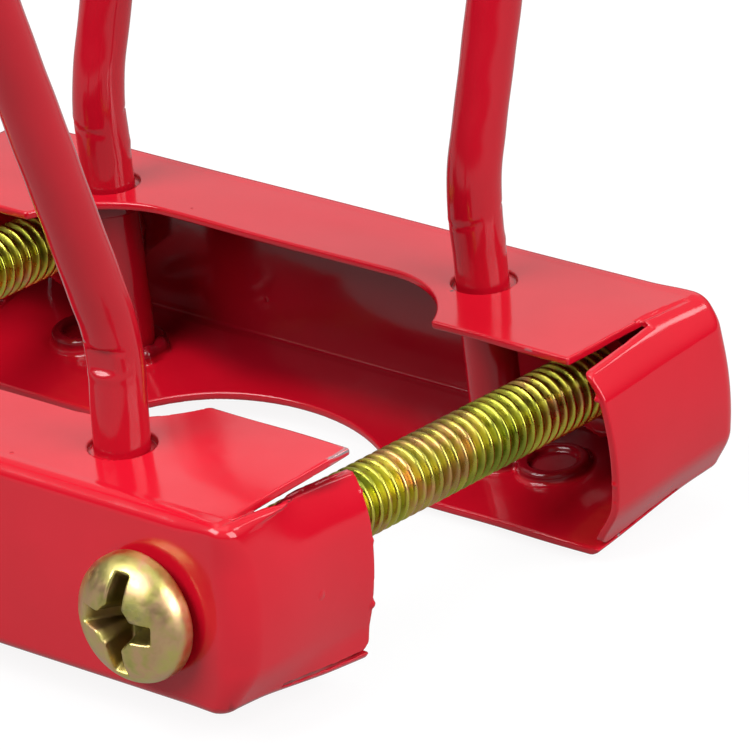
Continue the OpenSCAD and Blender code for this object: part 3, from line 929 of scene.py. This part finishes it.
def red_paint(side, is_sheet):
    material, g = new_material(f"red_powder_coat_{side}_{'sheet' if is_sheet else 'rod'}")
    film = g.noise(scale=160, detail=4, rough=0.6)
    base = g.colours(g.noise(scale=38, detail=3, rough=0.55), [
        (0.30, (0.505, 0.0036, 0.0140)), (0.55, (0.560, 0.0042, 0.0172)),
        (0.75, (0.595, 0.0050, 0.0210))])
    base = g.mix(g.ramp(film, (0.35, 0.75), to=(0.0, 0.20)), base, (0.50, 0.003, 0.012, 1))
    # nibs of dust under the paint
    distance, chosen = scattered_cells(g, scale=150.0, channel=0, chosen=(0.80, 0.83))
    nibs = g.times(g.ramp(distance, (0.055, 0.012)), chosen)
    # dark specks of grit
    distance, chosen = scattered_cells(g, scale=118.0, channel=1, chosen=(0.90, 0.92))
    distance = g.plus(distance, g.times(g.noise(scale=2600, detail=1), 0.02))
    specks = g.times(g.ramp(distance, (0.050, 0.030)), chosen)
    base = g.mix(g.times(specks, 0.75), base, (0.035, 0.004, 0.006, 1))
    rough = g.ramp(film, (0.3, 0.7), to=(0.10, 0.165))
    # orange peel, then a finer skin, then nibs
    peel = g.plus(g.times(g.noise(scale=430, detail=2, rough=0.45), 0.35),
                  g.times(g.noise(scale=95, detail=2, rough=0.4), 1.0))
    normal = g.bump(peel, distance=0.000055, strength=0.55)
    skin = g.noise(scale=1500, detail=2, rough=0.5)
    normal = g.bump(skin, distance=0.000010, strength=0.35, normal=normal)
    normal = g.bump(nibs, distance=0.00010, strength=0.9, normal=normal)
    inputs = {"IOR": 1.52, "Coat Weight": 0.10, "Coat Roughness": 0.06}
    if is_sheet:
        base, bare = worn_edges(g, side, base)
        inputs["Metallic"] = bare
        rough = g.plus(rough, g.times(bare, 0.16))
        if side == "front":
            # a burst bubble on the right end flap
            outer = g.blob(placed("front", (53.1, 13.0, 9.6)), 0.75, soft=0.18, jag=0.3)
            inner = g.blob(placed("front", (53.1, 13.15, 9.75)), 0.52, soft=0.25, jag=0.3)
            ring = g.math("SUBTRACT", outer, inner)
            normal = g.bump(ring, distance=0.00010, strength=0.8, normal=normal)
        pitted = g.times(bare, g.noise(scale=3000, detail=2))
        normal = g.bump(pitted, distance=0.00004, strength=0.7, normal=normal)
    else:
        # painted shade: the rods' and the nuts' copy of the paint is darker than the sheet's,
        # standing in for less light on them
        base = g.mix(0.36, base, (0.22, 0.0015, 0.008, 1))
    inputs.update({"Base Color": base, "Roughness": rough, "Normal": normal})
    g.fill(g.node("BSDF_PRINCIPLED"), inputs)
    return material


# ---------------------------------------------------------------- zinc
def yellow_zinc():
    material, g = new_material("yellow_zinc_screw")
    drift = g.noise(scale=105, detail=2, rough=0.5, distortion=0.6)
    fine = g.noise(scale=420, detail=3, rough=0.6)
    facing = g.add("LayerWeight", {"Blend": 0.35}).outputs["Facing"]
    tint = g.plus(g.times(drift, 0.80), g.plus(g.times(fine, 0.22), g.times(facing, 0.10)))
    base = g.colours(tint, [
        (0.36, (0.30, 0.36, 0.045)), (0.46, (0.60, 0.60, 0.075)), (0.55, (0.70, 0.62, 0.10)),
        (0.61, (0.74, 0.40, 0.17)), (0.66, (0.60, 0.50, 0.09)), (0.80, (0.30, 0.42, 0.08))])
    # duller, browner patches
    dull = g.ramp(g.noise(scale=60, detail=3, rough=0.6), (0.48, 0.68))
    base = g.mix(g.times(dull, 0.45), base, (0.26, 0.20, 0.06, 1))
    rough = g.ramp(g.noise(scale=700, detail=3, rough=0.6), (0.3, 0.7), to=(0.22, 0.38))
    grain = g.noise(scale=1900, detail=3, rough=0.6)
    normal = g.bump(grain, distance=0.000012, strength=0.6)
    # a scuff on the right screw's head
    stretch = g.add("Mapping", {"Vector": g.coord, "Scale": (700, 300, 1500),
                                "Rotation": (0.3, 0.5, 0.2)})
    scratch = g.noise(scale=1.0, detail=3.0, at=stretch.outputs[0])
    scuff_at = (SCREW_X + 2.4, -(WEB_Y + HEAD_PLAY) - 4.2, SCREW_Z + 2.0)
    scuff = g.times(g.blob(scuff_at, 1.7, soft=0.6, jag=1.4, scale=700),
                    g.ramp(scratch, (0.42, 0.54)))
    base = g.mix(g.times(scuff, 0.85), base, (0.045, 0.035, 0.015, 1))
    rough = g.plus(rough, g.times(scuff, 0.25))
    normal = g.bump(scratch, distance=0.00002, strength=0.25, normal=normal)
    # the heads are warmer and a little rougher
    along = g.add("SeparateXYZ", {"Vector": g.coord}).outputs["Y"]
    head = g.ramp(along, (-(WEB_Y + HEAD_PLAY - 0.6) * MM, -(WEB_Y + HEAD_PLAY) * MM))
    warm = g.colours(g.plus(g.times(drift, 0.6), g.times(fine, 0.4)), [
        (0.36, (0.42, 0.36, 0.14)), (0.48, (0.66, 0.55, 0.30)),
        (0.56, (0.74, 0.56, 0.37)), (0.66, (0.52, 0.48, 0.20))])
    base = g.mix(g.times(head, 0.45), base, warm)
    rough = g.plus(rough, g.times(head, 0.07))
    # painted shade down in the recess and between the threads
    hollow = g.attribute("hollow")
    base = g.mix(g.times(hollow, 0.80), base, (0.13, 0.075, 0.015, 1))
    rough = g.plus(rough, g.times(hollow, 0.15))
    g.fill(g.node("BSDF_PRINCIPLED"),
           {"Base Color": base, "Roughness": rough, "Normal": normal, "Metallic": 1.0})
    return material


def bright_zinc():
    material, g = new_material("bright_zinc_wire")
    base = g.colours(g.noise(scale=140, detail=3, rough=0.55), [
        (0.3, (0.50, 0.51, 0.53)), (0.55, (0.66, 0.67, 0.69)), (0.75, (0.58, 0.59, 0.66))])
    stain = g.ramp(g.noise(scale=75, detail=3), (0.58, 0.75), to=(0.0, 0.35))
    base = g.mix(stain, base, (0.36, 0.33, 0.29, 1))
    rough = g.ramp(g.noise(scale=900, detail=3), (0.3, 0.7), to=(0.22, 0.36))
    normal = g.bump(g.noise(scale=2400, detail=2), distance=0.00001, strength=0.5)
    g.fill(g.node("BSDF_PRINCIPLED"),
           {"Base Color": base, "Roughness": rough, "Normal": normal, "Metallic": 1.0})
    return material


# ---------------------------------------------------------------- build
red = {(side, is_sheet): red_paint(side, is_sheet)
       for side in ("front", "back") for is_sheet in (True, False)}
screw_zinc, wire_zinc = yellow_zinc(), bright_zinc()

for side in ("front", "back"):
    make_jaw(side, red[side, True])
    make_handle(side, red[side, False])
    make_bar(side, red[side, False])
make_screws(screw_zinc)
make_nuts(red["back", False])
make_spring(wire_zinc)


# ---------------------------------------------------------------- floor and world
def floor_material():
    """Near-white to the camera with a soft shadow, but dimmer in what it throws on the object."""
    material, g = new_material("pale_floor")
    tone = g.noise(scale=6, detail=2)
    colour = g.mix(tone, (0.88, 0.88, 0.88, 1), (0.865, 0.865, 0.87, 1))
    shaded = g.add("BsdfDiffuse", {"Color": colour})
    glow = g.add("Emission", {"Color": (1, 1, 1, 1), "Strength": 1.03})
    seen = g.add("MixShader", {0: 0.13, 1: glow.outputs[0], 2: shaded.outputs[0]})
    soft = g.add("Emission", {"Color": (1, 1, 1, 1), "Strength": 0.26})
    dull = g.add("BsdfDiffuse", {"Color": (0.12, 0.118, 0.118, 1)})
    dim = g.add("AddShader", {0: soft.outputs[0], 1: dull.outputs[0]})
    is_camera = g.add("LightPath").outputs["Is Camera Ray"]
    both = g.add("MixShader", {0: is_camera, 1: dim.outputs[0], 2: seen.outputs[0]})
    g.fill(g.node("OUTPUT_MATERIAL"), {0: both.outputs[0]})
    g.tree.nodes.remove(g.node("BSDF_PRINCIPLED"))
    return material


def make_floor():
    floor_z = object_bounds()[0].z - 0.0002
    bpy.ops.mesh.primitive_grid_add(x_subdivisions=8, y_subdivisions=8, size=12,
                                    location=(0, 0, floor_z))
    floor = bpy.context.object
    floor.name = "floor"
    floor.data.materials.append(floor_material())


def make_world():
    """White to the camera. It lights the object from dark at the horizon to grey overhead."""
    world = bpy.data.worlds.new("studio")
    bpy.context.scene.world = world
    world.use_nodes = True
    world.node_tree.nodes.clear()
    g = Graph(world.node_tree)
    up = g.add("SeparateXYZ", {0: g.coords["Generated"]}).outputs["Z"]
    sky = g.colours(g.ramp(up, (0.02, 0.50)), [(0.0, (0.05, 0.05, 0.053)),
                                               (1.0, (0.72, 0.72, 0.72))])
    lit = g.add("Background", {"Color": sky, "Strength": 0.60})
    seen = g.add("Background", {"Color": (1, 1, 1, 1), "Strength": 1.05})
    is_camera = g.add("LightPath").outputs["Is Camera Ray"]
    both = g.add("MixShader", {0: is_camera, 1: lit.outputs[0], 2: seen.outputs[0]})
    g.add("OutputWorld", {0: both.outputs[0]})


make_floor()
make_world()

# ---------------------------------------------------------------- lights
# name, place and target in metres, width and height in metres, watts
LIGHTS = (
    ("softbox_top", (-0.05, 0.05, 1.0), (0, 0, 0), (1.0, 1.0), 2.5),
    # the flat tops mirror this one
    ("softbox_behind", (-0.78, 0.87, 0.49), (0, 0, 0), (1.1, 0.62), 0.78),
    ("softbox_front", (-0.25, -0.75, 0.82), (0, 0, 0.02), (0.9, 0.6), 13.5),
    ("softbox_right", (0.95, 0.10, 0.55), (0, 0, 0.02), (0.8, 0.8), 11.5),
    # a small one for the folded edges
    ("softbox_rim", (0.50, 0.90, 0.80), (0, 0, 0.02), (0.26, 0.26), 1.1),
)
for name, place, target, size, power in LIGHTS:
    light = bpy.data.lights.new(name, "AREA")
    light.shape = "RECTANGLE"
    light.size, light.size_y = size
    light.energy = power
    lamp = bpy.data.objects.new(name, light)
    bpy.context.scene.collection.objects.link(lamp)
    lamp.location = place
    lamp.rotation_mode = "QUATERNION"
    lamp.rotation_quaternion = (Vector(target) - Vector(place)).to_track_quat("-Z", "Y")

# ---------------------------------------------------------------- camera
AZIMUTH, ELEVATION, ROLL = (math.radians(a) for a in (41.883, 22.488, -3.431))
CAMERA_AT = Vector((462.153, -473.771, 284.385))

backward = Vector((math.sin(AZIMUTH) * math.cos(ELEVATION),
                   -math.cos(AZIMUTH) * math.cos(ELEVATION), math.sin(ELEVATION)))
level = (-backward).cross(Vector((0, 0, 1))).normalized()
upright = level.cross(-backward)
camera_x = level * math.cos(ROLL) + upright * math.sin(ROLL)
camera_y = -level * math.sin(ROLL) + upright * math.cos(ROLL)
camera = bpy.data.cameras.new("camera")
camera.sensor_fit = "HORIZONTAL"
camera.sensor_width = 36
camera.lens = 312.05136
camera.clip_start, camera.clip_end = 0.02, 30
camera_object = bpy.data.objects.new("camera", camera)
bpy.context.scene.collection.objects.link(camera_object)
pose = Matrix((camera_x, camera_y, backward)).transposed().to_4x4()
pose.translation = CAMERA_AT * MM
camera_object.matrix_world = pose
bpy.context.scene.camera = camera_object
bpy.context.scene.view_settings.view_transform = "Standard"
bpy.context.scene.view_settings.look = "None"
